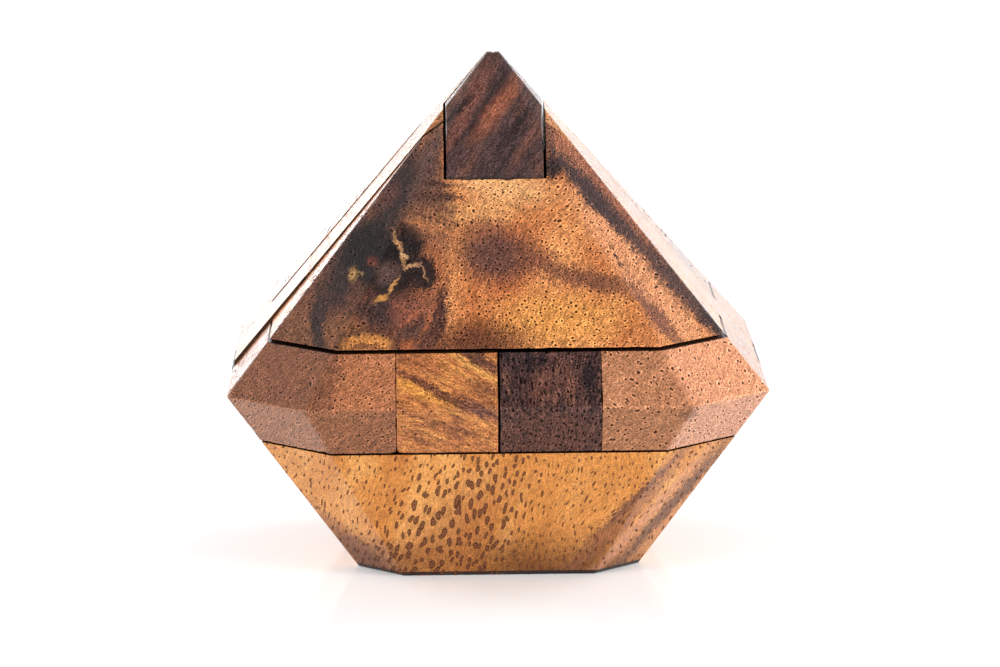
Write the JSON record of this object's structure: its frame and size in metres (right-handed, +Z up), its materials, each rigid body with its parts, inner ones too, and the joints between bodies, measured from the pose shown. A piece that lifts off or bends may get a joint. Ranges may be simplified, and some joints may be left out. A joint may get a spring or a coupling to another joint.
{
  "type": "wooden burr puzzle",
  "caption": "Diamond-shaped interlocking burr puzzle of oiled wood sticks and filler blocks, standing on its flat base, with an upright key stick that slides up and out.",
  "frame": {"origin": "centre of the flat base, on the surface the puzzle stands on", "axes": "+Z up through the point of the diamond; front faces -Y; +X to the right as seen from the front"},
  "size_m": [0.091, 0.091, 0.0864],
  "materials": {
    "wood_key": "satin oiled hardwood, open pores, softly worn arrises",
    "wood_front_crown": "satin oiled hardwood, open pores, softly worn arrises",
    "wood_right_fin": "satin oiled hardwood, open pores, softly worn arrises",
    "wood_rear_crown": "satin oiled hardwood, open pores, softly worn arrises",
    "wood_left_fin": "satin oiled hardwood, open pores, softly worn arrises",
    "wood_upper_beam": "satin oiled hardwood, open pores, softly worn arrises",
    "wood_left_rail": "satin oiled hardwood, open pores, softly worn arrises",
    "wood_left_corner": "satin oiled hardwood, open pores, softly worn arrises",
    "wood_right_rail": "satin oiled hardwood, open pores, softly worn arrises",
    "wood_right_corner": "satin oiled hardwood, open pores, softly worn arrises",
    "wood_front_base": "satin oiled hardwood, open pores, softly worn arrises",
    "wood_rear_base": "satin oiled hardwood, open pores, softly worn arrises",
    "wood_base_fin": "satin oiled hardwood, open pores, softly worn arrises",
    "wood_lower_beam": "satin oiled hardwood, open pores, softly worn arrises",
    "wood_rear_post": "satin oiled hardwood, open pores, softly worn arrises"
  },
  "bodies": {
    "puzzle": {"front_crown": "wood_front_crown", "right_fin": "wood_right_fin", "rear_crown": "wood_rear_crown", "left_fin": "wood_left_fin", "upper_beam": "wood_upper_beam", "left_rail": "wood_left_rail", "left_front_corner": "wood_left_corner", "left_rear_corner": "wood_left_corner", "right_rail": "wood_right_rail", "right_front_corner": "wood_right_corner", "right_rear_corner": "wood_right_corner", "front_base": "wood_front_base", "rear_base": "wood_rear_base", "left_base_fin": "wood_base_fin", "right_base_fin": "wood_base_fin", "lower_beam": "wood_lower_beam", "rear_post": "wood_rear_post"},
    "key": {"key": "wood_key"}
  },
  "joints": [
    {"name": "key_slide", "type": "slide", "parent": "puzzle", "child": "key", "axis": [0, 0, 1], "range_m": [0, 0.09]}
  ]
}
